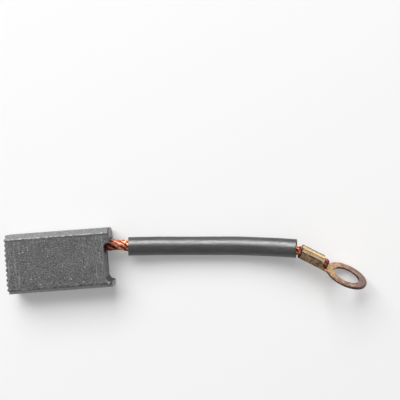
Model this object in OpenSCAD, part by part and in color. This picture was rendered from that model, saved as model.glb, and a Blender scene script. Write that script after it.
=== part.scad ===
// Carbon brush of a small commutator motor, lying on one broad face: a pressed carbon
// block, a stranded copper shunt moulded into it, an insulating sleeve over the shunt
// and a ring terminal crimped on its free end. +X runs from the contact face towards
// the lead, +Z is up, and the origin is the middle of the block's underside.

/* [Carbon block] */
// Length along the holder, from the groove crests to the ends of the ears
block_length = 22; // [16:0.5:32]
// Width across the holder
block_width = 12.5; // [11:0.1:18]
// Thickness, which is the width of the holder's slot
block_thickness = 6.3; // [5:0.1:9]
// Width of the chamfer along each long edge, on the broad faces
chamfer_width = 0.95; // [0.3:0.05:1.4]
// Height of the chamfer along each long edge, on the narrow sides
chamfer_height = 1.1; // [0.3:0.05:1.8]

/* [Contact face] */
// Pitch of the running-in grooves, which run through the thickness
groove_pitch = 1.04; // [0.6:0.02:2]
// Depth of the grooves
groove_depth = 0.3; // [0.1:0.05:0.7]
// Flat left on the crest between two grooves
groove_land = 0.35; // [0.05:0.05:0.4]

/* [Rear recess] */
// Depth of the recess between the two rear ears
recess_depth = 1.3; // [0.5:0.1:2.5]
// Width of the ear beside the shunt
shunt_ear = 3.2; // [2.6:0.1:4.5]
// Width of the ear on the other side
plain_ear = 1.2; // [1:0.1:2.5]
// Fillet between the recess floor and the ear beside the shunt
shunt_fillet = 0.8; // [0.2:0.1:1.2]
// Fillet between the recess floor and the plain ear
plain_fillet = 1.3; // [0.2:0.1:2]

/* [Shunt] */
// Diameter of the stranded copper rope
shunt_d = 2.4; // [1.6:0.1:2.6]
// Distance of the shunt from the block's middle line
shunt_offset = 2.5; // [1.5:0.1:3]
// Depth to which the rope is moulded into the block
shunt_depth = 6; // [3:0.5:12]
// Diameter of the hollow round the rope, at the recess floor
hollow_d = 3.5; // [2.8:0.1:4.5]
// Depth of the hollow
hollow_depth = 1.4; // [0.5:0.1:3]

/* [Insulating sleeve] */
// Outside diameter of the sleeve
sleeve_od = 4; // [3.8:0.1:5]
// Inside diameter of the sleeve
sleeve_id = 3; // [2.8:0.1:3.4]

/* [Ring terminal] */
// Thickness of the brass strip
strip_thickness = 0.5; // [0.3:0.05:0.8]
// Outside diameter of the ring
ring_od = 9; // [7.5:0.5:12]
// Hole of the ring, for an M5 screw
ring_hole = 5.5; // [4:0.1:6]
// Width of the tongue between the ring and the barrel
tongue_width = 2.5; // [2:0.1:4]
// Length of the tongue, from the folded wings to the ring
tongue_length = 1.3; // [1.1:0.1:4]
// Fillet between the tongue and the ring
tongue_fillet = 1.2; // [0.3:0.1:2]
// Angle by which the ring is bent towards the folded wings
ring_bend = 7; // [0:1:20]

/* [Crimp barrel] */
// Length of the folded wings
barrel_length = 5.3; // [3:0.1:8]
// Width over the folded barrel
barrel_width = 3.4; // [2.8:0.1:4]
// Height over the folded barrel
barrel_height = 2.3; // [2.1:0.1:3.2]
// Radius of the barrel's two corners beside its floor
barrel_corner = 0.8; // [0.3:0.1:1]
// Radius of a wing where it folds over and where its tip curls in
wing_round = 0.4; // [0.2:0.05:0.6]
// Fall of a wing from its tip to its fold
wing_fall = 0.1; // [0:0.05:0.3]
// Depth of the valley where the wings' tips meet
seam_depth = 0.35; // [0.1:0.05:0.5]
// Gap left between the tips of the wings
seam_gap = 0.06; // [0.04:0.01:0.15]
// How far the seam lies off the barrel's middle, towards the wall that is turned up
seam_shift = 0.4; // [0:0.1:0.5]
// Width of the rope squeezed in the barrel
bundle_width = 2.3; // [1.8:0.1:2.4]
// Height of the rope squeezed in the barrel
bundle_height = 1.2; // [1:0.05:1.4]
// Length of the bell mouth at the barrel's entry
bell_length = 0.8; // [0.3:0.1:1.5]
// How much wider the bell mouth is than the squeezed rope
bell_flare_width = 0.3; // [0.1:0.1:0.5]
// How much higher the bell mouth is than the squeezed rope
bell_flare_height = 0.4; // [0.1:0.1:0.4]
// Length of the rope's end that stands out past the barrel
tail_length = 1.1; // [0.5:0.1:1.2]
// Width over the spread strands of that end
tail_width = 3; // [2.3:0.1:3.2]
// Height over them
tail_height = 2.2; // [1.4:0.1:2.4]
// Length over which the side walls run down to the tongue
wall_run = 0.9; // [0.3:0.1:1.5]

/* [Lay of the lead] */
// Angle by which the terminal points away from the block's long axis
terminal_turn = 31; // [0:1:60]
// Angle by which the terminal leans over, its ring standing on one edge
terminal_lean = 64; // [30:1:90]

/* [Hidden] */

$fn = 64;
cut = 0.5;            // reach of a cutter past the face that it opens
rope_sides = 8;       // sides of the swept rope
sleeve_sides = 24;    // sides of the swept sleeve
seat = 0.01;          // clearance of the rope in the block and in the crimp

rear_x = block_length / 2;
floor_x = rear_x - recess_depth;
mid_z = block_thickness / 2;
groove_count = floor(block_width / groove_pitch);

// Crimp section, measured from the axis of the squeezed rope
flat = cos(180 / rope_sides);
tongue_top = -(bundle_height / 2 * flat + seat);
tongue_base = tongue_top - strip_thickness;
barrel_top = tongue_base + barrel_height;
wall_top = 0.2;       // height of the side walls where they start to run down
wall_inside = bundle_width / 2 * flat + seat;

// Terminal frame: along is the barrel's axis, front is the side of the folded wings
along = [cos(terminal_turn), -sin(terminal_turn), 0];
front = [sin(terminal_turn) * sin(terminal_lean), cos(terminal_turn) * sin(terminal_lean),
         cos(terminal_lean)];
ring_r = ring_od / 2;
// The strip is creased where the side walls have run out; the ring lies beyond the crease
crease_x = barrel_length + wall_run;
ring_reach = barrel_length + tongue_length + ring_r - crease_x;
ring_x = crease_x + ring_reach * cos(ring_bend) + strip_thickness / 2 * sin(ring_bend);
ring_rise = tongue_top + ring_reach * sin(ring_bend) - strip_thickness / 2 * cos(ring_bend);
// Centre of the fillet beside the tongue, from the ring's centre, and half the crease's width
fillet_y = tongue_width / 2 + tongue_fillet;
fillet_x = sqrt(pow(ring_r + tongue_fillet, 2) - pow(fillet_y, 2));
crease_half = fillet_y - sqrt(pow(tongue_fillet, 2) - pow(min(ring_reach - fillet_x, 0), 2));
// Height of the barrel's axis at which the low edge of the ring stands on the table
ring_lean = acos(cos(terminal_lean) * cos(ring_bend));
terminal_z = ring_r * sin(ring_lean) + strip_thickness / 2 * cos(ring_lean)
             - ring_rise * cos(terminal_lean);
lead_reach = 41.4;    // way from the recess floor to the mouth of the barrel
mouth = [floor_x + lead_reach, -1.85, terminal_z];

// Centre line of the sleeve, from the recess floor: it sags to the table between its ends
sleeve_points = [
    [4.9, 1.85, 2.75], [8, 1.65, 2.45], [12, 1.4, 2.18], [16, 1.1, 2.04], [20, 0.8, 2],
    [24, 0.5, 2], [28, 0.2, 2.05], [32, -0.2, 2.35], [35, -0.5, 2.8], [38, -0.85, 3.45],
    [40.7, -1.2, 4.05]
];
// Centre line of the rope from the block to just before the terminal, loose in the sleeve
rope_points = [
    [2, 2.47, 3.14], [3.4, 2.3, 3.06], [4.9, 2.05, 2.93], [8, 1.7, 2.53], [12, 1.4, 2.05],
    [16, 1.1, 1.79], [20, 0.8, 1.74], [24, 0.5, 1.74], [28, 0.2, 1.8], [32, -0.2, 2.2],
    [35, -0.5, 2.75], [38, -0.95, 3.45], [39.5, -1.25, 3.9]
];
// Stations in the terminal: [way along the barrel, lift towards the front, half width, half height]
crimp_stations = [
    [-0.6, 0, 1.1, 1.05],
    [0, 0, (bundle_width + bell_flare_width) / 2 - seat, (bundle_height + bell_flare_height) / 2 - seat],
    [bell_length, 0, bundle_width / 2, bundle_height / 2],
    [barrel_length + 0.4 * tail_length, 0, bundle_width / 2, bundle_height / 2],
    [barrel_length + tail_length, 0.6, tail_width / 2, tail_height / 2]
];

sleeve_path = [for (p = sleeve_points) [floor_x + p.x, p.y, p.z]];
rope_start = [
    [floor_x - shunt_depth, shunt_offset, mid_z],
    [floor_x - hollow_depth, shunt_offset, mid_z],
    [floor_x, shunt_offset, mid_z]
];
rope_path = concat(
    rope_start,
    [for (p = rope_points) [floor_x + p.x, p.y, p.z]],
    [for (s = crimp_stations) mouth + s[0] * along + s[1] * front]
);
rope_halves = concat(
    [for (p = concat(rope_start, rope_points)) [shunt_d / 2, shunt_d / 2]],
    [for (s = crimp_stations) [s[2], s[3]]]
);

function unit(v) = v / norm(v);
function heading(path, k) = unit(path[min(k + 1, len(path) - 1)] - path[max(k - 1, 0)]);

// Corners of section k of a sweep: an ellipse of the given half width and half height
function section(path, k, half, sides) =
    let (t = heading(path, k), u = unit(cross(front, t)), v = cross(t, u))
    [for (i = [0:sides - 1]) let (a = (i + 0.5) * 360 / sides)
        path[k] + half[0] * cos(a) * u + half[1] * sin(a) * v];

// Solid swept along a path, with one pair of half sizes for each of its points
module swept(path, halves, sides) {
    last = len(path) - 1;
    polyhedron(
        points = [for (k = [0:last]) each section(path, k, halves[k], sides)],
        faces = concat(
            [[for (i = [0:sides - 1]) i]],
            [[for (i = [sides - 1:-1:0]) last * sides + i]],
            [for (k = [0:last - 1], i = [0:sides - 1])
                let (a = k * sides + i, b = k * sides + (i + 1) % sides)
                each [[a, a + sides, b + sides], [a, b + sides, b]]]
        )
    );
}

// Solid whose length runs along +X, from an outline drawn in Y and Z
module along_x(length) {
    rotate([90, 0, 90]) linear_extrude(length) children();
}

// Cutter for the corner of two edges that run along +X and +Y, which leaves a round of radius r
module corner(r) {
    difference() {
        translate([-cut, -cut]) square(r + cut);
        translate([r, r]) circle(r);
    }
}

module grooves() {
    bottom = groove_pitch - groove_land;
    for (i = [0:groove_count - 1])
        translate([-rear_x, (i - (groove_count - 1) / 2) * groove_pitch])
            polygon([[0, -bottom / 2], [groove_depth, 0], [0, bottom / 2], [-cut, bottom / 2],
                     [-cut, -bottom / 2]]);
}

module recess() {
    low = -block_width / 2 + plain_ear;
    high = block_width / 2 - shunt_ear;
    difference() {
        translate([floor_x, low]) square([recess_depth + cut, high - low]);
        translate([floor_x, low]) corner(plain_fillet);
        translate([floor_x, high]) mirror([0, 1]) corner(shunt_fillet);
    }
}

module block_section() {
    w = block_width / 2;
    polygon([
        [-w, chamfer_height], [-w + chamfer_width, 0], [w - chamfer_width, 0], [w, chamfer_height],
        [w, block_thickness - chamfer_height], [w - chamfer_width, block_thickness],
        [-w + chamfer_width, block_thickness], [-w, block_thickness - chamfer_height]
    ]);
}

module carbon_block() {
    color("#55565a") difference() {
        translate([-rear_x, 0, 0]) along_x(block_length) block_section();
        translate([0, 0, -cut]) linear_extrude(block_thickness + 2 * cut) {
            grooves();
            recess();
        }
        translate([floor_x, shunt_offset, mid_z]) rotate([0, -90, 0]) {
            cylinder(h = shunt_depth, r = shunt_d / 2 + seat);
            cylinder(h = hollow_depth, d1 = hollow_d, d2 = shunt_d);
            translate([0, 0, -recess_depth]) cylinder(h = recess_depth + seat, d = hollow_d);
        }
    }
}

module shunt() {
    color("#c8744f") swept(rope_path, rope_halves, rope_sides);
}

module insulating_sleeve() {
    last = len(sleeve_path) - 1;
    first_step = unit(sleeve_path[0] - sleeve_path[1]);
    last_step = unit(sleeve_path[last] - sleeve_path[last - 1]);
    bore_path = concat([sleeve_path[0] + cut * first_step], sleeve_path,
                       [sleeve_path[last] + cut * last_step]);
    color("#3b3c3e") difference() {
        swept(sleeve_path, [for (p = sleeve_path) [1, 1] * sleeve_od / 2], sleeve_sides);
        swept(bore_path, [for (p = bore_path) [1, 1] * sleeve_id / 2], sleeve_sides);
    }
}

// Outline of one folded wing from the seam outwards: round at its tip and at its fold
module wing_outline(reach) {
    tip = [wing_round, barrel_top - wing_round];
    fold = [reach - wing_round, barrel_top - wing_round - wing_fall];
    outward = wing_round * unit([tip.y - fold.y, fold.x - tip.x]);
    translate(tip) circle(wing_round);
    translate(fold) circle(wing_round);
    polygon([[0, 0], [0, tip.y], tip, tip + outward, fold + outward, [reach, fold.y], [reach, 0]]);
}

// Outline of the folded barrel: a channel whose two wings curl in and meet on a seam
module barrel_outline() {
    w = barrel_width / 2;
    difference() {
        union() {
            translate([-w, tongue_base]) square([barrel_width, -tongue_base + seat]);
            translate([-seam_shift, 0]) {
                translate([-wing_round, -seat]) square([2 * wing_round, barrel_top - seam_depth + seat]);
                wing_outline(w + seam_shift);
                mirror([1, 0]) wing_outline(w - seam_shift);
            }
        }
        for (side = [0, 1]) mirror([side, 0]) translate([-w, tongue_base]) corner(barrel_corner);
    }
}

// Section of the squeezed rope, grown by a clearance
module bundle_outline(clearance) {
    polygon([for (i = [0:rope_sides - 1]) let (a = (i + 0.5) * 360 / rope_sides)
        [(bundle_width / 2 + clearance) * cos(a), (bundle_height / 2 + clearance) * sin(a)]]);
}

module barrel() {
    difference() {
        along_x(barrel_length) barrel_outline();
        translate([-cut, 0, 0]) along_x(barrel_length + 2 * cut) bundle_outline(seat);
        translate([-cut, -seam_shift - seam_gap / 2, 0]) cube([barrel_length + 2 * cut, seam_gap, barrel_top + cut]);
        translate([bell_length, 0, 0]) rotate([90, 0, -90])
            linear_extrude(bell_length + seat, slices = 1,
                           scale = [1 + bell_flare_width / bundle_width,
                                    1 + bell_flare_height / bundle_height])
                bundle_outline(seat);
    }
}

// Loft from the end of the barrel to the crease, between two outlines drawn in Y and Z
module run_out() {
    hull() {
        translate([barrel_length - seat, 0, 0]) along_x(seat) children(0);
        translate([crease_x, 0, 0]) along_x(seat) children(1);
    }
}

// Floor and side walls of the open channel, running out flat between barrel and crease
module channel_end() {
    w = barrel_width / 2;
    run_out() {
        intersection() {
            barrel_outline($fn = 32);
            translate([-w, tongue_base]) square([barrel_width, strip_thickness]);
        }
        translate([-crease_half, tongue_base]) square([2 * crease_half, strip_thickness]);
    }
    for (side = [0, 1]) mirror([0, side, 0]) run_out() {
        translate([wall_inside, tongue_top - seat]) square([w - wall_inside, wall_top - tongue_top]);
        translate([crease_half - seat, tongue_top - seat]) square(seat);
    }
}

// Ring with its fillets, cut off straight at the crease
module ring_outline() {
    difference() {
        union() {
            circle(ring_r);
            intersection() {
                translate([-ring_reach, -ring_r]) square([ring_reach, 2 * ring_r]);
                difference() {
                    polygon([[0, 0], [-fillet_x, fillet_y], [-ring_reach - cut, fillet_y],
                             [-ring_reach - cut, -fillet_y], [-fillet_x, -fillet_y]]);
                    for (side = [-1, 1]) translate([-fillet_x, side * fillet_y]) circle(tongue_fillet);
                }
            }
        }
        circle(d = ring_hole);
    }
}

module ring_terminal() {
    color("#b98e5a") translate(mouth) rotate([-terminal_lean, 0, -terminal_turn]) {
        barrel();
        channel_end();
        translate([crease_x, 0, tongue_top]) rotate([90, 0, 0])
            translate([0, 0, -crease_half]) rotate([0, 0, -90]) rotate_extrude(angle = ring_bend)
                square([strip_thickness, 2 * crease_half]);
        translate([ring_x, 0, ring_rise]) rotate([0, -ring_bend, 0])
            linear_extrude(strip_thickness, center = true) ring_outline();
    }
}

carbon_block();
shunt();
insulating_sleeve();
ring_terminal();
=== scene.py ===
"""The looks of a carbon brush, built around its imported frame.

The brush lies on a pale table: a pressed carbon block, a stranded copper shunt moulded
into it, an insulating sleeve over the shunt and a ring terminal crimped on its end.
Every length is in metres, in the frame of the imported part: +X runs from the contact
face towards the lead and +Z is up. Shapes are worked out in millimetres and brought to
metres when their mesh is made.
"""

import logging
import math
from dataclasses import dataclass, field
from enum import Enum
from itertools import product

import bpy
import numpy as np
from mathutils import Matrix, Vector

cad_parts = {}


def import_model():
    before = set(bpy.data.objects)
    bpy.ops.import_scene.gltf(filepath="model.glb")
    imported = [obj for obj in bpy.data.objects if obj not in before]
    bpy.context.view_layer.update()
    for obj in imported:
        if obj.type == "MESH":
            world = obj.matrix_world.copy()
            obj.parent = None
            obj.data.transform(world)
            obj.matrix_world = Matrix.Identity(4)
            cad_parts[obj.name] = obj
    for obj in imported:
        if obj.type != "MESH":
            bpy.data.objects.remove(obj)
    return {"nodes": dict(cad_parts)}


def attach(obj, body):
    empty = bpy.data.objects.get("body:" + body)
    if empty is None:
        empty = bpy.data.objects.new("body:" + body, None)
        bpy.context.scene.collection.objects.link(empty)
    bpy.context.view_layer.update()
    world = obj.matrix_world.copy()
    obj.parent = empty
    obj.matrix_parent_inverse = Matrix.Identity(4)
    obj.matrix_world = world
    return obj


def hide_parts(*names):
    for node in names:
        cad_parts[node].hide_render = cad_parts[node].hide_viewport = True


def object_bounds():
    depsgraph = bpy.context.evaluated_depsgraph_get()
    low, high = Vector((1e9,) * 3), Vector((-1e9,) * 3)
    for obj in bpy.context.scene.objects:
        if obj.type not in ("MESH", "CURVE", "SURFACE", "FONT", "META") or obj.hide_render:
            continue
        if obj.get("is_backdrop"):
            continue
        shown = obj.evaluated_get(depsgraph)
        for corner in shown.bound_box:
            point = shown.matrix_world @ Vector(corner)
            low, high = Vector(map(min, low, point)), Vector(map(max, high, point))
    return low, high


LOG = logging.getLogger("carbon_brush")
MILLI = 0.001
BODY = "root"
TURN = 2 * math.pi
CELL_PRIMES = (73856093, 19349663, 83492791)
OCTAVE_SHIFT = 17.0
TINY = 1e-9

Socket = bpy.types.NodeSocket
Pair = tuple[float, float]
Triple = tuple[float, float, float]


class Slot(Enum):
    """The material slots."""

    CARBON = "carbon"
    COPPER = "copper"
    SLEEVE = "sleeve"
    BRASS = "brass"


class Seed(Enum):
    """The numbers that the random fields start from, one for each use."""

    CARBON = 3
    SLEEVE = 5
    WIRES = 11
    CRUMBS = 23
    CREASE = 31
    RIM = 37


# ---------------------------------------------------------------------------
# The route of the lead
# ---------------------------------------------------------------------------

RECESS_FLOOR = 9.7
LEAD_REACH = 41.4
MOUTH = (RECESS_FLOOR + LEAD_REACH, -1.85, 4.255)
TERMINAL_TURN = math.radians(31)
TERMINAL_LEAN = math.radians(64)

# Points of the middle lines: way past the recess's floor, across and up
SLEEVE_ROUTE = (
    (4.9, 1.85, 2.75), (8, 1.65, 2.45), (12, 1.4, 2.18), (16, 1.1, 2.04), (20, 0.8, 2),
    (24, 0.5, 2), (28, 0.2, 2.05), (32, -0.2, 2.35), (35, -0.5, 2.8), (38, -0.85, 3.45),
    (40.7, -1.2, 4.05),
)
ROPE_ROUTE = (
    (-6, 2.5, 3.15), (-1.4, 2.5, 3.15), (0, 2.5, 3.15), (2, 2.47, 3.14), (3.4, 2.3, 3.06),
    (4.9, 2.05, 2.93), (8, 1.7, 2.53), (12, 1.4, 2.05), (16, 1.1, 1.79), (20, 0.8, 1.74),
    (24, 0.5, 1.74), (28, 0.2, 1.8), (32, -0.2, 2.2), (35, -0.5, 2.75), (38, -0.95, 3.45),
    (39.5, -1.25, 3.9),
)
# In the terminal: way along the barrel, lift to the front, half width, half height
CRIMP_STATIONS = (
    (-0.6, 0, 1.1, 1.05), (0, 0, 1.29, 0.79), (0.8, 0, 1.15, 0.6), (5.34, 0, 1.15, 0.6),
    (5.74, 0.3, 1.25, 0.88), (6.4, 0.25, 1.3, 0.76),
)


@dataclass(frozen=True)
class TerminalFrame:
    """Directions of the ring terminal: along its barrel, across it and to its front."""

    origin: Triple = MOUTH
    turn: float = TERMINAL_TURN
    lean: float = TERMINAL_LEAN

    def axes(self) -> np.ndarray:
        """Return the three directions as the rows of a matrix: along, side, front."""
        along = np.array([math.cos(self.turn), -math.sin(self.turn), 0.0])
        front = np.array([
            math.sin(self.turn) * math.sin(self.lean),
            math.cos(self.turn) * math.sin(self.lean),
            math.cos(self.lean),
        ])
        return np.array([along, np.cross(front, along), front])

    def place(self, along: float, side: float, front: float) -> np.ndarray:
        """Return the point that lies so far along, across and in front, in millimetres."""
        return np.array(self.origin) + np.array([along, side, front]) @ self.axes()

    def local(self, points: np.ndarray) -> np.ndarray:
        """Return points in the terminal's own directions, in millimetres."""
        return (points - np.array(self.origin)) @ self.axes().T


def smooth_line(knots: np.ndarray, stations: np.ndarray) -> np.ndarray:
    """Run a smooth line through knots.

    Args:
        knots: One row for each knot, with any number of columns.
        stations: Ways along the line, each knot's own way being the length up to it.

    Returns:
        One row for each station.
    """
    ways = chord_ways(knots[:, :3])
    slopes = np.gradient(knots, ways, axis=0)
    index = np.clip(np.searchsorted(ways, stations, side="right") - 1, 0, len(ways) - 2)
    step = (ways[index + 1] - ways[index])[:, None]
    t = (stations - ways[index])[:, None] / step
    start, end = knots[index], knots[index + 1]
    lead, trail = slopes[index] * step, slopes[index + 1] * step
    return (
        (2 * t**3 - 3 * t**2 + 1) * start + (t**3 - 2 * t**2 + t) * lead
        + (3 * t**2 - 2 * t**3) * end + (t**3 - t**2) * trail
    )


def chord_ways(points: np.ndarray) -> np.ndarray:
    """Return the length of the line up to each of its points."""
    return np.concatenate([[0.0], np.cumsum(np.linalg.norm(np.diff(points, axis=0), axis=1))])


def cross_frames(line: np.ndarray, up: np.ndarray) -> tuple[np.ndarray, np.ndarray]:
    """Return two directions across a line at each point, the second one nearest to up."""
    heading = np.gradient(line, axis=0)
    heading /= np.linalg.norm(heading, axis=1)[:, None]
    side = np.cross(up, heading)
    side /= np.linalg.norm(side, axis=1)[:, None]
    return side, np.cross(heading, side)


def turned(angles: np.ndarray, side: np.ndarray, top: np.ndarray) -> np.ndarray:
    """Return the direction at an angle from side towards top, at each point of a line."""
    return np.cos(angles)[:, None] * side + np.sin(angles)[:, None] * top


def spokes(count: int, side: np.ndarray, top: np.ndarray) -> np.ndarray:
    """Return that many directions round a line at each of its points, from two across it."""
    angles = np.arange(count) * TURN / count
    around = np.cos(angles)[None, :, None] * side[:, None]
    return around + np.sin(angles)[None, :, None] * top[:, None]


def cell_index(cells: np.ndarray, size: int) -> np.ndarray:
    """Return an index below size for each whole-numbered cell, the same on every run."""
    first, second, third = (cells * CELL_PRIMES).T
    return (first ^ second ^ third) % size


def held(values: np.ndarray) -> np.ndarray:
    """Return values held between 0 and 1."""
    return np.clip(values, 0, 1)


@dataclass(frozen=True)
class Fade:
    """A share that goes evenly from 0 at a start to 1 at an end, which may be the lower one."""

    start: float
    end: float
    least: float = 0.0
    most: float = 1.0

    def at(self, values: np.ndarray) -> np.ndarray:
        """Return the share for each value, held between the least and the most."""
        return np.clip((values - self.start) / (self.end - self.start), self.least, self.most)


@dataclass
class Grain:
    """A smooth random field in space, which is the same on every run."""

    seed: Seed
    size: int = 8191
    values: np.ndarray = field(init=False)

    def __post_init__(self) -> None:
        """Draw the values at the corners of the field's cells."""
        self.values = np.random.default_rng(self.seed.value).uniform(-1, 1, self.size)

    def at(self, points: np.ndarray, cell: float, octaves: int = 1) -> np.ndarray:
        """Read the field.

        Args:
            points: One row for each point.
            cell: Size of the coarsest cells, in the points' own unit.
            octaves: How many finer fields are added, each half as coarse and as strong.

        Returns:
            One value for each point, from about -1 to 1.
        """
        total = np.zeros(len(points))
        for octave in range(octaves):
            scaled = points / cell * 2**octave + OCTAVE_SHIFT * octave
            base = np.floor(scaled).astype(np.int64)
            part = scaled - base
            part = part * part * (3 - 2 * part)
            for corner in product((0, 1), repeat=3):
                weight = np.prod(np.where(corner, part, 1 - part), axis=1)
                total += self.values[cell_index(base + corner, self.size)] * weight / 2**octave
        return total

    def along(self, ways: np.ndarray, cell: float, row: float, layer: float = 0.0) -> np.ndarray:
        """Read the field on a straight line, which its row and layer tell from other lines."""
        line = np.stack([ways / cell, np.full(len(ways), row), np.full(len(ways), layer)], 1)
        return self.at(line, 1.0)


# ---------------------------------------------------------------------------
# Meshes
# ---------------------------------------------------------------------------

def tube_faces(rings: int, sides: int, first: int = 0) -> list[tuple[int, ...]]:
    """Return the faces of a closed tube whose points are stored ring after ring.

    Args:
        rings: Number of rings.
        sides: Number of points in a ring.
        first: Index of the tube's first point.
    """
    faces = [tuple(first + side for side in reversed(range(sides)))]
    faces.append(tuple(first + (rings - 1) * sides + side for side in range(sides)))
    for ring, side in product(range(rings - 1), range(sides)):
        low = first + ring * sides
        after = (side + 1) % sides
        faces.append((low + side, low + after, low + sides + after, low + sides + side))
    return faces


def make_piece(
    name: str,
    node: str,
    points: np.ndarray,
    faces: list[tuple[int, ...]],
    marks: dict[str, np.ndarray],
) -> bpy.types.Object:
    """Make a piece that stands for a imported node.

    Args:
        name: Name of the piece.
        node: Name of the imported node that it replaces.
        points: Its points in millimetres.
        faces: Its faces, as indices of points.
        marks: Values kept at the points for the finish, one number or three for each.

    Returns:
        The object, smooth shaded and riding on the body.
    """
    mesh = bpy.data.meshes.new(name)
    mesh.from_pydata((points * MILLI).tolist(), [], faces)
    mesh.update()
    for mark, values in marks.items():
        flat = values.ndim == 1
        layer = mesh.attributes.new(mark, "FLOAT" if flat else "FLOAT_VECTOR", "POINT")
        plain_values = values.astype(np.float32).ravel()
        layer.data.foreach_set("value" if flat else "vector", plain_values)
    mesh.polygons.foreach_set("use_smooth", [True] * len(mesh.polygons))
    piece = bpy.data.objects.new(name, mesh)
    bpy.context.scene.collection.objects.link(piece)
    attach(piece, BODY)
    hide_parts(node)
    LOG.info("%s: %d faces", name, len(faces))
    return piece


@dataclass
class Skin:
    """An even-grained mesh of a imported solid, in millimetres."""

    points: np.ndarray
    normals: np.ndarray
    edges: np.ndarray
    faces: list[tuple[int, ...]]

    @classmethod
    def of(cls, node: bpy.types.Object, cell: float) -> "Skin":
        """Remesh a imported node.

        Args:
            node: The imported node's object, which isn't changed.
            cell: Width of the new mesh's cells, in millimetres.
        """
        mesh = node.data.copy()
        mesh.transform(Matrix.Scale(1 / MILLI, 4))
        carrier = bpy.data.objects.new("carrier", mesh)
        bpy.context.scene.collection.objects.link(carrier)
        remesh = carrier.modifiers.new("even", "REMESH")
        remesh.mode = "VOXEL"
        remesh.voxel_size = cell
        graph = bpy.context.evaluated_depsgraph_get()
        even = bpy.data.meshes.new_from_object(carrier.evaluated_get(graph))
        points = np.empty(len(even.vertices) * 3, np.float32)
        normals = np.empty(len(even.vertices) * 3, np.float32)
        edges = np.empty(len(even.edges) * 2, np.int32)
        even.vertices.foreach_get("co", points)
        even.vertices.foreach_get("normal", normals)
        even.edges.foreach_get("vertices", edges)
        faces = [tuple(face.vertices) for face in even.polygons]
        bpy.data.objects.remove(carrier)
        bpy.data.meshes.remove(mesh)
        bpy.data.meshes.remove(even)
        return cls(
            points.reshape(-1, 3).astype(float), normals.reshape(-1, 3).astype(float),
            edges.reshape(-1, 2), faces,
        )

    def averaged(self, values: np.ndarray, rounds: int) -> np.ndarray:
        """Return values averaged with those of the neighbouring points, so many times."""
        start, end = self.edges.T
        count = np.bincount(self.edges.ravel(), minlength=len(self.points)) + 1.0
        shaped = values.reshape(len(values), -1)
        for _ in range(rounds):
            total = shaped.copy()
            np.add.at(total, start, shaped[end])
            np.add.at(total, end, shaped[start])
            shaped = total / count[:, None]
        return shaped.reshape(values.shape)

    def relax(self, rounds: int) -> None:
        """Even out the steps of the mesh, which also breaks its sharp edges."""
        self.points = self.averaged(self.points, rounds)

    def sharpness(self, rounds: int) -> np.ndarray:
        """Return how sharp the surface is at each point, below 0 in inner corners.

        Args:
            rounds: How often the result is averaged with the neighbouring points.
        """
        start, end = self.edges.T
        step = self.points[end] - self.points[start]
        length = np.linalg.norm(step, axis=1) + TINY
        total = np.zeros(len(self.points))
        np.add.at(total, start, -(self.normals[start] * step).sum(1) / length)
        np.add.at(total, end, (self.normals[end] * step).sum(1) / length)
        count = np.bincount(self.edges.ravel(), minlength=len(self.points))
        return self.averaged(total / np.maximum(count, 1), rounds)


# ---------------------------------------------------------------------------
# Finishes
# ---------------------------------------------------------------------------

@dataclass(frozen=True)
class Clouds:
    """Noise of one scale: its cells in millimetres, and its finer layers and their strength.

    It may be squeezed by a factor for each direction, which draws it out along the others.
    """

    cell: float
    layers: float = 2
    rough: float = 0.5
    squeeze: Triple | None = None


@dataclass(frozen=True)
class Span:
    """A range of values, and the range that it is brought to."""

    low: float
    high: float
    to_low: float = 0.0
    to_high: float = 1.0


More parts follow.
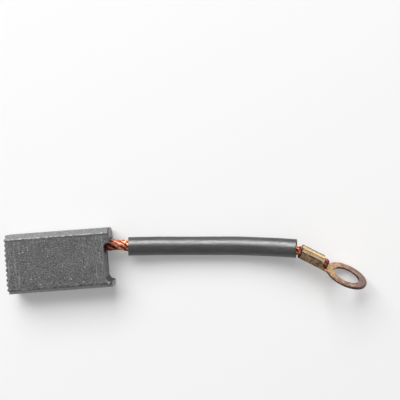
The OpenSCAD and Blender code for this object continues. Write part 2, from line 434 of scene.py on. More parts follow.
class Coating:
    """A material under construction, with one short call for each kind of node."""

    def __init__(self, name: str, tree: bpy.types.NodeTree | None = None) -> None:
        """Start an empty material of that name, or empty the node tree of something else."""
        if tree is None:
            self.material = bpy.data.materials.new(name)
            self.material.use_nodes = True
            tree = self.material.node_tree
        self.tree = tree
        self.tree.nodes.clear()

    def add(self, kind: str, **settings: object) -> bpy.types.Node:
        """Add a node of a kind, with its settings."""
        node = self.tree.nodes.new(kind)
        for key, value in settings.items():
            setattr(node, key, value)
        return node

    def feed(self, socket: Socket, value: object) -> None:
        """Link a socket's value to an input, or write a plain value there."""
        if isinstance(value, Socket):
            self.tree.links.new(value, socket)
        elif isinstance(value, tuple) and len(value) == 3 and socket.type == "RGBA":
            socket.default_value = (*value, 1.0)
        else:
            socket.default_value = value

    def place(self) -> Socket:
        """Return the place on the object in millimetres."""
        coordinates = self.add("ShaderNodeTexCoord").outputs["Object"]
        return self.scaled(coordinates, (1 / MILLI,) * 3)

    def scaled(self, vector: Socket, factors: Triple | None) -> Socket:
        """Return a vector multiplied by a factor for each direction, where there are any."""
        if factors is None:
            return vector
        node = self.add("ShaderNodeVectorMath", operation="MULTIPLY")
        self.feed(node.inputs[0], vector)
        node.inputs[1].default_value = factors
        return node.outputs["Vector"]

    def mark(self, name: str, output: str = "Fac") -> Socket:
        """Return a number kept at the mesh's points, or three with the output Vector."""
        return self.add("ShaderNodeAttribute", attribute_name=name).outputs[output]

    def axis(self, vector: Socket, name: str) -> Socket:
        """Return the X, Y or Z of a vector."""
        node = self.add("ShaderNodeSeparateXYZ")
        self.feed(node.inputs[0], vector)
        return node.outputs[name]

    def noise(self, vector: Socket, clouds: Clouds) -> Socket:
        """Return clouds around 0.5."""
        node = self.add("ShaderNodeTexNoise")
        self.feed(node.inputs["Vector"], self.scaled(vector, clouds.squeeze))
        node.inputs["Scale"].default_value = 1 / clouds.cell
        node.inputs["Detail"].default_value = clouds.layers
        node.inputs["Roughness"].default_value = clouds.rough
        return node.outputs["Fac"]

    def spots(self, vector: Socket, cell: float) -> Socket:
        """Return the distance to scattered points that are about a cell apart, in cells."""
        node = self.add("ShaderNodeTexVoronoi", feature="F1")
        self.feed(node.inputs["Vector"], vector)
        node.inputs["Scale"].default_value = 1 / cell
        return node.outputs["Distance"]

    def level(self, value: Socket, span: Span) -> Socket:
        """Return a value brought from one range to another and held within it."""
        node = self.add("ShaderNodeMapRange", clamp=True)
        self.feed(node.inputs["Value"], value)
        node.inputs["From Min"].default_value = span.low
        node.inputs["From Max"].default_value = span.high
        node.inputs["To Min"].default_value = span.to_low
        node.inputs["To Max"].default_value = span.to_high
        return node.outputs["Result"]

    def clouded(self, vector: Socket, clouds: Clouds, span: Span) -> Socket:
        """Return clouds brought to a range."""
        return self.level(self.noise(vector, clouds), span)

    def calc(self, operation: str, first: object, second: object = 0.0) -> Socket:
        """Return the result of a sum, product or other operation."""
        node = self.add("ShaderNodeMath", operation=operation)
        self.feed(node.inputs[0], first)
        self.feed(node.inputs[1], second)
        return node.outputs[0]

    def plus(self, first: Socket, second: Socket) -> Socket:
        """Return a sum."""
        return self.calc("ADD", first, second)

    def less(self, first: Socket, second: object) -> Socket:
        """Return a difference."""
        return self.calc("SUBTRACT", first, second)

    def times(self, first: Socket, *others: object) -> Socket:
        """Return a product."""
        for other in others:
            first = self.calc("MULTIPLY", first, other)
        return first

    def blend(self, factor: Socket, first: object, second: object, mode: str = "MIX") -> Socket:
        """Return one tone laid over another by a factor."""
        node = self.add("ShaderNodeMix", data_type="RGBA", blend_type=mode)
        self.feed(node.inputs["Factor"], factor)
        self.feed(node.inputs[6], first)
        self.feed(node.inputs[7], second)
        return node.outputs[2]

    def over(self, tone: Socket, second: object, *shares: object) -> Socket:
        """Return a tone with a second one laid over it, by the product of the shares."""
        return self.blend(self.times(*shares), tone, second)

    def bump(self, height: Socket, distance: float) -> Socket:
        """Return the normal over a height from 0 to 1 that stands for a distance in metres."""
        node = self.add("ShaderNodeBump")
        self.feed(node.inputs["Height"], height)
        node.inputs["Distance"].default_value = distance
        node.inputs["Strength"].default_value = 1.0
        return node.outputs["Normal"]

    def shine(self, kind: str, strength: float) -> Socket:
        """Return plain white light of a strength, from an emission or a background node."""
        node = self.add(kind)
        node.inputs["Strength"].default_value = strength
        return node.outputs[0]

    def seen(self, unseen: Socket, seen: Socket) -> Socket:
        """Return a shader for what the camera sees, also in glossy or clear surfaces.

        Args:
            unseen: The shader that all other rays find.
            seen: The shader that the camera finds.
        """
        path = self.add("ShaderNodeLightPath").outputs
        mirrored = self.calc("MAXIMUM", path["Is Glossy Ray"], path["Is Transmission Ray"])
        node = self.add("ShaderNodeMixShader")
        self.feed(node.inputs[0], self.calc("MAXIMUM", path["Is Camera Ray"], mirrored))
        self.feed(node.inputs[1], unseen)
        self.feed(node.inputs[2], seen)
        return node.outputs[0]

    def close(self, shader: Socket, kind: str = "ShaderNodeOutputMaterial") -> None:
        """Link the last shader to an output node of a kind."""
        self.feed(self.add(kind).inputs["Surface"], shader)

    def finish(self, **inputs: object) -> bpy.types.Material:
        """Close the material with a shader.

        Args:
            inputs: Values or sockets by the name of the shader's input, with _ for a space.

        Returns:
            The material.
        """
        shader = self.add("ShaderNodeBsdfPrincipled")
        for key, value in inputs.items():
            self.feed(shader.inputs[key.replace("_", " ")], value)
        self.close(shader.outputs[0])
        return self.material


@dataclass(frozen=True)
class CarbonFinish:
    """Pressed and baked carbon: granular on the broad faces, ground on the narrow sides."""

    dark: Triple = (0.008, 0.0082, 0.0084)
    light: Triple = (0.188, 0.1885, 0.1892)
    ground_dark: Triple = (0.10, 0.1005, 0.101)
    ground_light: Triple = (0.240, 0.241, 0.242)
    # Lighter tone of the cut ends, also painted light on the chamfer that faces away from the lamp
    ends: Triple = (0.36, 0.36, 0.36)
    fleck: Triple = (0.62, 0.62, 0.62)
    # Tone of chips, scores and rubbed edges, also the painted highlight on the crest
    chipped_and_painted_light: Triple = (0.62, 0.62, 0.62)
    # Tone of pits, also the painted shade along the crest, beside the chips and at the rear
    pits_and_painted_shade: Triple = (0.015, 0.015, 0.016)
    grains: Clouds = Clouds(0.24, 3, 0.62)
    grains_shown: Span = Span(0.38, 0.64)
    grains_share: float = 0.72
    cracks: Clouds = Clouds(0.5, 2, 0.6)
    cracks_shown: Span = Span(0.07, 0.0, 0.0, 0.30)
    cracks_depth: float = -1.2
    patches: Clouds = Clouds(2.6, 2, 0.5)
    patches_shown: Span = Span(0.3, 0.7, -0.09, 0.05)
    scores: Clouds = Clouds(1.0, 2, 0.6, (4.2, 0.4, 0.4))
    scores_shown: Span = Span(0.55, 0.68)
    scores_reach: Span = Span(3.5, 9.5)
    scores_share: float = 0.28
    lines: Clouds = Clouds(1.0, 3, 0.6, (4.0, 4.0, 0.5))
    lines_shown: Span = Span(0.32, 0.68)
    flecks_apart: float = 0.80
    flecks_shown: Span = Span(0.15, 0.07)
    flecked: Clouds = Clouds(3.0, 1)
    flecked_shown: Span = Span(0.40, 0.52)
    pits_squeeze: Triple = (1.0, 1.3, 1.0)
    pits_apart: float = 0.9
    pits_shown: Span = Span(0.15, 0.08)
    pits_share: float = 0.7
    pits_depth: float = 0.8
    crevice_share: float = 0.85
    wear_share: float = 0.85
    roughness: Span = Span(0.3, 0.7, 0.62, 0.46)
    gloss: float = 0.5
    relief: float = 0.00012

    def material(self) -> bpy.types.Material:
        """Return the material. It reads the marks broad, ends, wear, crevice and soot, which also
        carry painted light and shade.
        """
        coat = Coating("carbon")
        place = coat.place()
        fine = coat.noise(place, self.grains)
        cracks = coat.calc("ABSOLUTE", coat.less(coat.noise(place, self.cracks), 0.5))
        grains = coat.times(coat.level(fine, self.grains_shown), self.grains_share)
        grains = coat.plus(grains, coat.level(cracks, self.cracks_shown))
        grains = coat.plus(grains, coat.clouded(place, self.patches, self.patches_shown))
        broad = coat.blend(grains, self.dark, self.light)
        scores = coat.clouded(place, self.scores, self.scores_shown)
        near_ends = coat.level(coat.calc("ABSOLUTE", coat.axis(place, "X")), self.scores_reach)
        broad = coat.over(broad, self.chipped_and_painted_light, scores, near_ends, self.scores_share)
        lines = coat.clouded(place, self.lines, self.lines_shown)
        ground = coat.blend(lines, self.ground_dark, self.ground_light)
        # A lighter tone on the cut ends, and painted light on the chamfer that faces away from the
        # lamp
        ground = coat.over(ground, self.ends, coat.mark("ends"))
        tone = coat.over(ground, broad, coat.mark("broad"))
        flecks = coat.level(coat.spots(place, self.flecks_apart), self.flecks_shown)
        flecked = coat.clouded(place, self.flecked, self.flecked_shown)
        tone = coat.over(tone, self.fleck, flecks, flecked)
        squeezed = coat.scaled(place, self.pits_squeeze)
        pits = coat.level(coat.spots(squeezed, self.pits_apart), self.pits_shown)
        tone = coat.over(tone, self.pits_and_painted_shade, pits, self.pits_share)
        # Painted shade along the crest and beside the chips
        tone = coat.over(tone, self.pits_and_painted_shade, coat.mark("painted_crevice_shade"), self.crevice_share)
        # Rubbed edges and chips, with the painted highlight on the crest
        tone = coat.over(tone, self.chipped_and_painted_light, coat.mark("wear_and_painted_highlight"), self.wear_share)
        # Painted shade round the rope, in the recess and along the ears' rims
        tone = coat.over(tone, self.pits_and_painted_shade, coat.mark("painted_rear_shade"))
        height = coat.plus(fine, coat.times(cracks, self.cracks_depth))
        height = coat.less(height, coat.times(pits, self.pits_depth))
        return coat.finish(
            Base_Color=tone, Roughness=coat.level(fine, self.roughness),
            Specular_IOR_Level=self.gloss, Normal=coat.bump(height, self.relief),
        )


@dataclass(frozen=True)
class CopperFinish:
    """Bare copper wires, tarnished deeper red where the rope enters other pieces."""

    bright: Triple = (0.74, 0.42, 0.27)
    middle: Triple = (0.27, 0.080, 0.046)
    deep: Triple = (0.115, 0.024, 0.023)
    # Tone of the painted shade between the wires
    gap: Triple = (0.050, 0.006, 0.003)
    cloud: Clouds = Clouds(0.6, 3, 0.65)
    cloud_shown: Span = Span(0.48, 0.62)
    strand_share: float = 0.25
    polish: Clouds = Clouds(0.25)
    roughness: Span = Span(0.3, 0.7, 0.26, 0.40)
    drawn: Clouds = Clouds(0.08)
    relief: float = 0.00001

    def material(self) -> bpy.types.Material:
        """Return the material. It reads the marks tarnish, strand and gap, the last a painted shade
        between the wires.
        """
        coat = Coating("copper")
        place = coat.place()
        cloud = coat.clouded(place, self.cloud, self.cloud_shown)
        tone = coat.blend(cloud, self.middle, self.bright)
        tone = coat.over(tone, self.middle, coat.mark("strand"), self.strand_share)
        tone = coat.over(tone, self.deep, coat.mark("tarnish"))
        # Painted shade deep in the rope, between the wires
        tone = coat.over(tone, self.gap, coat.mark("gap"))
        return coat.finish(
            Base_Color=tone, Metallic=1.0,
            Roughness=coat.clouded(place, self.polish, self.roughness),
            Normal=coat.bump(coat.noise(place, self.drawn), self.relief),
        )


@dataclass(frozen=True)
class SleeveFinish:
    """Dark grey extruded sleeving with a satin skin, faintly streaked along its length."""

    dark: Triple = (0.016, 0.0158, 0.0157)
    light: Triple = (0.042, 0.0415, 0.041)
    dust: Triple = (0.20, 0.20, 0.20)
    streaks: Clouds = Clouds(0.45, 3, 0.6, (0.12, 1.0, 1.0))
    streaks_shown: Span = Span(0.35, 0.65)
    streaks_height: float = 0.5
    cloud: Clouds = Clouds(1.4, 3, 0.6, (0.5, 1.0, 1.0))
    cloud_share: float = 0.6
    peel: Clouds = Clouds(0.26, 3, 0.6)
    peel_height: float = 0.7
    specks_apart: float = 0.8
    specks_shown: Span = Span(0.08, 0.04)
    dusty: Clouds = Clouds(2.5, 1)
    dusty_shown: Span = Span(0.56, 0.64)
    roughness: Span = Span(0.55, 1.05, 0.30, 0.50)
    gloss: float = 0.68
    relief: float = 0.00006

    def material(self) -> bpy.types.Material:
        """Return the material. It reads the mark lay, the place on the straightened sleeve."""
        coat = Coating("sleeve")
        lay = coat.mark("lay", "Vector")
        streaks = coat.noise(lay, self.streaks)
        peel = coat.noise(lay, self.peel)
        tone = coat.blend(coat.level(streaks, self.streaks_shown), self.dark, self.light)
        specks = coat.level(coat.spots(lay, self.specks_apart), self.specks_shown)
        tone = coat.over(tone, self.dust, specks, coat.clouded(lay, self.dusty, self.dusty_shown))
        skin = coat.plus(coat.times(coat.noise(lay, self.cloud), self.cloud_share), peel)
        height = coat.plus(
            coat.times(streaks, self.streaks_height), coat.times(peel, self.peel_height)
        )
        return coat.finish(
            Base_Color=tone, Roughness=coat.level(skin, self.roughness),
            Specular_IOR_Level=self.gloss, Normal=coat.bump(height, self.relief),
        )


@dataclass(frozen=True)
class BrassFinish:
    """Stamped brass that age has toned tan, brown and violet, with painted light on the upper wing,
    painted shade on the lower wing, in the seam and the crease, and a painted dark reflection in
    the walls' brown.
    """

    gold: Triple = (0.75, 0.47, 0.21)
    plum: Triple = (0.12, 0.074, 0.076)
    # The upper wing's tone is painted light, and grey, the lower wing's tone, is painted shade
    lit_wing_painted_light: Triple = (0.92, 0.68, 0.36)
    tan: Triple = (0.63, 0.40, 0.25)
    grey: Triple = (0.40, 0.31, 0.19)
    # Brown of tarnish, also darkening the walls as a painted dark reflection
    brown: Triple = (0.105, 0.068, 0.042)
    # Violet of the aged ring, also the painted shade in the seam
    violet: Triple = (0.25, 0.16, 0.145)
    # Dark of specks and the ring's rim, also the painted shade in the crease
    dark: Triple = (0.025, 0.020, 0.020)
    cloud: Clouds = Clouds(1.3, 4, 0.62)
    cloud_shift: Span = Span(0.25, 0.75, 5.0, -5.0)
    violet_reach: Span = Span(7.5, 15.5)
    fine: Clouds = Clouds(0.5, 4, 0.7)
    mottle: Span = Span(0.51, 0.60)
    mottle_share: float = 0.75
    stains: Clouds = Clouds(0.36, 3, 0.78)
    stains_shown: Span = Span(0.50, 0.56)
    stains_share: float = 0.62
    patches_fine: float = 0.8
    patches: Span = Span(0.80, 1.0, 0.97, 0.55)
    glints: Clouds = Clouds(0.8, 2, 0.6)
    glints_shown: Span = Span(0.56, 0.66)
    glints_share: float = 0.45
    rims: Span = Span(0.40, 0.60, 0.97, 0.60)
    hatch: Clouds = Clouds(1.0, 2, 0.5, (3.2, 1.0, 1.0))
    hatch_shown: Span = Span(0.35, 0.6, 0.5, 0.9)
    specks_apart: float = 0.62
    specks_fray: Span = Span(0.3, 0.7, -0.12, 0.12)
    specks_shown: Span = Span(0.24, 0.10)
    specks_share: float = 0.75
    specks_depth: float = 0.5
    roughness: Span = Span(0.3, 0.7, 0.34, 0.56)
    relief: float = 0.00004

    def material(self) -> bpy.types.Material:
        """Return the material.

        It reads the marks local, upper, lower, walls, seam, fold, rim, neck, ring and crease, some
        of which carry painted light, shade and reflection.
        """
        coat = Coating("brass")
        local = coat.mark("local", "Vector")
        cloud = coat.noise(local, self.cloud)
        fine = coat.noise(local, self.fine)
        along = coat.plus(coat.axis(local, "X"), coat.level(cloud, self.cloud_shift))
        tone = coat.blend(coat.level(along, self.violet_reach), self.tan, self.violet)
        # Painted light on the upper wing, which faces the lamp, and painted shade on the lower
        for mark, own in (("neck", self.gold), ("upper", self.lit_wing_painted_light), ("lower", self.grey)):
            tone = coat.over(tone, own, coat.mark(mark))
        tone = coat.over(tone, self.brown, coat.level(fine, self.mottle), self.mottle_share)
        stains = coat.clouded(local, self.stains, self.stains_shown)
        tone = coat.over(tone, self.plum, stains, coat.mark("ring"), self.stains_share)
        patches = coat.plus(cloud, coat.times(fine, self.patches_fine))
        patches = coat.level(patches, self.patches)
        # Brown patches on the barrel's walls: tarnish, darkened further by a painted dark
        # reflection
        tone = coat.over(tone, self.brown, coat.mark("walls"), patches)
        glints = coat.clouded(local, self.glints, self.glints_shown)
        tone = coat.over(tone, self.gold, glints, coat.mark("walls"), self.glints_share)
        # Painted shade in the wall's fold and round the mouth
        tone = coat.over(tone, self.dark, coat.mark("crease"))
        tone = coat.over(tone, self.dark, coat.mark("rim"), coat.level(fine, self.rims))
        # Painted shade in the seam between the wings
        tone = coat.blend(coat.mark("seam"), tone, self.violet, "MULTIPLY")
        hatch = coat.clouded(local, self.hatch, self.hatch_shown)
        tone = coat.over(tone, self.brown, coat.mark("fold"), hatch)
        frayed = coat.plus(
            coat.spots(local, self.specks_apart), coat.level(fine, self.specks_fray)
        )
        specks = coat.level(frayed, self.specks_shown)
        tone = coat.over(tone, self.dark, specks, self.specks_share)
        height = coat.less(fine, coat.times(specks, self.specks_depth))
        return coat.finish(
            Base_Color=tone, Metallic=1.0, Roughness=coat.level(fine, self.roughness),
            Normal=coat.bump(height, self.relief),
        )


# ---------------------------------------------------------------------------
# Pieces
# ---------------------------------------------------------------------------

@dataclass
class Strands:
    """The tubes of a rope, gathered into one mesh with their marks."""

    line: np.ndarray
    radius: np.ndarray
    tarnish: np.ndarray
    depth: np.ndarray
    # Where the painted shade between the wires starts and where it is full, in parts of the rope's
    # radius
    gap: Fade = Fade(0.94, 0.66)
    points: list[np.ndarray] = field(default_factory=list)
    faces: list[tuple[int, ...]] = field(default_factory=list)
    marks: dict[str, list[np.ndarray]] = field(
        default_factory=lambda: {"tarnish": [], "strand": [], "gap": []}
    )

    def add(
        self, line: np.ndarray, radius: np.ndarray, sides: int, up: np.ndarray, strand: float = 1.0
    ) -> None:
        """Add one tube round a line.

        Args:
            line: The tube's middle line.
            radius: Its radius at each point of the line.
            sides: Its number of sides.
            up: A direction across it at each point, where its sides start.
            strand: A number from 0 to 1 that tells it from other tubes.
        """
        tube = line[:, None] + spokes(sides, *cross_frames(line, up)) * radius[:, None, None]
        out = np.linalg.norm(tube - self.line[:, None], axis=2) / self.radius[:, None]
        self.faces.extend(tube_faces(len(line), sides, sum(len(part) for part in self.points)))
        self.points.append(tube.reshape(-1, 3))
        self.marks["gap"].append((self.depth[:, None] * self.gap.at(out)).ravel())
        self.marks["tarnish"].append(np.repeat(self.tarnish, sides))
        self.marks["strand"].append(np.full(len(line) * sides, strand))

    def piece(self, name: str, node: str, slot: Slot) -> bpy.types.Object:
        """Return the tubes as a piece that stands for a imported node."""
        marks = {mark: np.concatenate(values) for mark, values in self.marks.items()}
        return make_piece(name, node, np.concatenate(self.points), self.faces, marks)


@dataclass
class Shunt:
    """The stranded copper rope: six bundles of fine wires laid round a core."""

    diameter: float = 2.4
    core_radius: float = 0.42
    core_sides: int = 8
    bundles: int = 6
    bundle_diameter: float = 0.82
    bundle_pitch: float = 10.5
    bundle_sides: int = 6
    bundle_fill: float = 1.6
    wires: int = 13
    wire_diameter: float = 0.165
    wire_pitch: float = 3.6
    wire_sides: int = 5
    # How far the bundles turn and swell off their even lay, each with the length of its changes
    drift: Pair = (0.34, 1.7)
    swelling: Pair = (0.11, 1.5)
    # How far a swollen bundle moves out, and how far a wire turns and moves out in its bundle
    outing: float = 0.08
    straying: Pair = (0.12, 1.7)
    wire_outing: float = 0.05
    # Steps that tell the lines on which bundles and wires read the random field
    rows: Triple = (7.7, 5.3, 3.1)
    layers: Pair = (9.0, 4.9)
    strand_steps: Pair = (0.37, 0.61)
    fine_step: float = 0.16
    coarse_step: float = 0.55
    shown: tuple[Pair, ...] = ((4.4, 13.0), (45.5, 50.0), (52.5, 60.0))
    tail: float = 0.9
    splay: float = -0.04
    slant: float = -0.33
    unevenness: float = 0.05
    # How dark the painted shade in the gaps between the wires is, by the way to the cut end
    gap_depth: Fade = Fade(0.25, 0.55, least=0.25)
    # How much tarnish there is at the block, in the terminal's mouth and in the tail, and where
    tarnishes: tuple[tuple[float, Fade], ...] = (
        (0.97, Fade(9.0, 6.4)), (0.06, Fade(44.0, 46.0)), (0.52, Fade(51.0, 53.0)),
    )
    frame: TerminalFrame = field(default_factory=TerminalFrame)
    line: np.ndarray = field(init=False)

    def knots(self) -> np.ndarray:
        """Return the route's points with the rope's half width and half height there."""
        half = self.diameter / 2
        free = [(RECESS_FLOOR + x, y, z, half, half) for x, y, z in ROPE_ROUTE]
        crimped = [
            (*self.frame.place(along, 0, lift), wide, high)
            for along, lift, wide, high in CRIMP_STATIONS
        ]
        return np.array(free + crimped)

    def stations(self, length: float) -> np.ndarray:
        """Return the ways along the rope at which its wires have a ring."""
        ways = [0.0]
        while ways[-1] < length - self.fine_step:
            fine = any(low <= ways[-1] <= high for low, high in self.shown)
            ways.append(min(ways[-1] + (self.fine_step if fine else self.coarse_step), length))
        return np.array(ways)

    def build(self) -> bpy.types.Object:
        """Make the rope's mesh, one tube for each wire and for the core of each bundle."""
        knots = self.knots()
        ways = self.stations(chord_ways(knots[:, :3])[-1])
        rope = smooth_line(knots, ways)
        self.line = rope[:, :3]
        half = rope[:, 3:5]
        scale = np.sqrt(half.prod(axis=1)) / (self.diameter / 2)
        across, upward = cross_frames(self.line, self.frame.axes()[2])
        depth = self.gap_depth.at(ways[-1] - ways)
        strands = Strands(self.line, self.diameter / 2 * scale, self.tarnish(ways), depth)
        strands.add(self.line, self.core_radius * scale, self.core_sides, upward)
        reach = (self.diameter - self.bundle_diameter) / self.diameter
        wander = Grain(Seed.WIRES)
        for bundle in range(self.bundles):
            drift = self.drift[0] * wander.along(ways, self.drift[1], self.rows[0] * bundle)
            swell = wander.along(ways, self.swelling[1], self.rows[1] * bundle, self.layers[0])
            phase = TURN * (bundle / self.bundles + ways / self.bundle_pitch) + drift
            out = half * (reach * (1 + self.outing * swell))[:, None]
            centre = (
                self.line + (out[:, 0] * np.cos(phase))[:, None] * across
                + (out[:, 1] * np.sin(phase))[:, None] * upward
            )
            outward = turned(phase, across, upward)
            side, top = cross_frames(centre, outward)
            thick = scale * (1 + self.swelling[0] * swell)
            core = (self.bundle_diameter - self.bundle_fill * self.wire_diameter) / 2
            strands.add(centre, core * thick, self.bundle_sides, outward)
            ring = (self.bundle_diameter - self.wire_diameter) / 2 * thick
            for wire in range(self.wires):
                stray = wander.along(
                    ways, self.straying[1], self.rows[2] * wire, self.layers[1] * bundle
                )
                turn = TURN * (wire / self.wires - ways / self.wire_pitch)
                direction = turned(turn + self.straying[0] * stray, side, top)
                line = centre + direction * (ring * (1 + self.wire_outing * stray))[:, None]
                line = self.splayed(line, ways, wander.values[wire * self.bundles + bundle])
                strand = (wire * self.strand_steps[0] + bundle * self.strand_steps[1]) % 1
                radius = self.wire_diameter / 2 * scale
                strands.add(line, radius, self.wire_sides, direction, strand)
        return strands.piece("copper_shunt", "shunt", Slot.COPPER)

    def splayed(self, line: np.ndarray, ways: np.ndarray, stray: float) -> np.ndarray:
        """Return a wire's line with its cut end drawn in, slanted and a little off in length.

        Args:
            line: The wire's points.
            ways: How far along the rope each point is.
            stray: How much longer this wire is than the middle ones, from -1 to 1.

        Returns:
            The wire's points again, moved near the cut end.
        """
        past = Fade(self.tail, 0.0).at(ways[-1] - ways)[:, None] ** 2
        heading = self.line[-1] - self.line[-2]
        heading /= np.linalg.norm(heading)
        front = self.frame.axes()[2]
        off = line - self.line
        reach = self.unevenness * stray + self.slant * (off @ front)[:, None]
        return line + off * self.splay * past + heading * reach * past

    def tarnish(self, ways: np.ndarray) -> np.ndarray:
        """Return how deeply the wires are tarnished at each way along the rope."""
        return sum(share * fade.at(ways) for share, fade in self.tarnishes)


@dataclass
class Sleeve:
    """The insulating sleeve: a tube cut off square, with the edges of its cuts just broken."""

    outer: float = 4.0
    inner: float = 3.0
    edge: float = 0.09
    sides: int = 72
    step: float = 0.25
    bore_step: float = 0.75
    frames: int = 400
    waves: float = 0.018
    wave_cell: float = 1.6
    wave_squeeze: Triple = (0.35, 1.0, 1.0)

    def outline(self, length: float) -> np.ndarray:
        """Return the tube's outline as rows of way and radius, over the skin and back inside."""
        skin = np.linspace(self.edge, length - self.edge, int(length / self.step))
        bore = np.linspace(length - self.edge, self.edge, int(length / self.bore_step))
        slant = self.edge * (1 - math.sqrt(0.5))
        outer, inner = self.outer / 2, self.inner / 2
        return np.array([
            (0.0, inner + self.edge), (0.0, outer - self.edge), (slant, outer - slant),
            *((way, outer) for way in skin),
            (length - slant, outer - slant), (length, outer - self.edge),
            (length, inner + self.edge), (length - slant, inner + slant),
            *((way, inner) for way in bore),
            (slant, inner + slant),
        ])

    def build(self) -> bpy.types.Object:
        """Make the sleeve's mesh, with its skin, its two cuts and its bore."""
        knots = np.array([(RECESS_FLOOR + x, y, z) for x, y, z in SLEEVE_ROUTE])
        length = chord_ways(knots)[-1]
        ways, radii = self.outline(length).T
        line = smooth_line(knots, ways)
        dense = smooth_line(knots, np.linspace(0, length, self.frames))
        side, top = cross_frames(dense, np.array([0.0, 0.0, 1.0]))
        last = self.frames - 1
        pick = np.clip(np.round(ways / length * last).astype(int), 0, last)
        angles = np.arange(self.sides) * TURN / self.sides
        straight = np.stack([
            np.repeat(ways, self.sides),
            (radii[:, None] * np.cos(angles)).ravel(),
            (radii[:, None] * np.sin(angles)).ravel(),
        ], 1)
        swell = self.waves * Grain(Seed.SLEEVE).at(straight * self.wave_squeeze, self.wave_cell)
        swell = swell.reshape(len(ways), -1) * (radii > self.outer / 2 - self.edge)[:, None]
        ring = spokes(self.sides, side[pick], top[pick])
        points = line[:, None] + ring * (radii[:, None] + swell)[:, :, None]
        faces = []
        for row, spoke in product(range(len(ways)), range(self.sides)):
            here, there = row * self.sides, (row + 1) % len(ways) * self.sides
            after = (spoke + 1) % self.sides
            faces.append((here + spoke, here + after, there + after, there + spoke))
        piece = make_piece(
            "sleeve_tube", "insulating_sleeve", points.reshape(-1, 3), faces,
            {"lay": straight},
        )
        piece.data.materials.append(SleeveFinish().material())
        return piece


@dataclass(frozen=True)
class Crumbs:
    """How an edge has crumbled: the random field's scale and place, and its usual share."""

    cell: float
    layers: int
    shift: float
    usual: float
    strength: float = 1.0

    def share(self, grain: Grain, place: np.ndarray) -> np.ndarray:
        """Return how much has crumbled at each point, from 0 to 1."""
        field_there = grain.at(place + self.shift, self.cell, self.layers)
        return held(self.usual + self.strength * field_there)


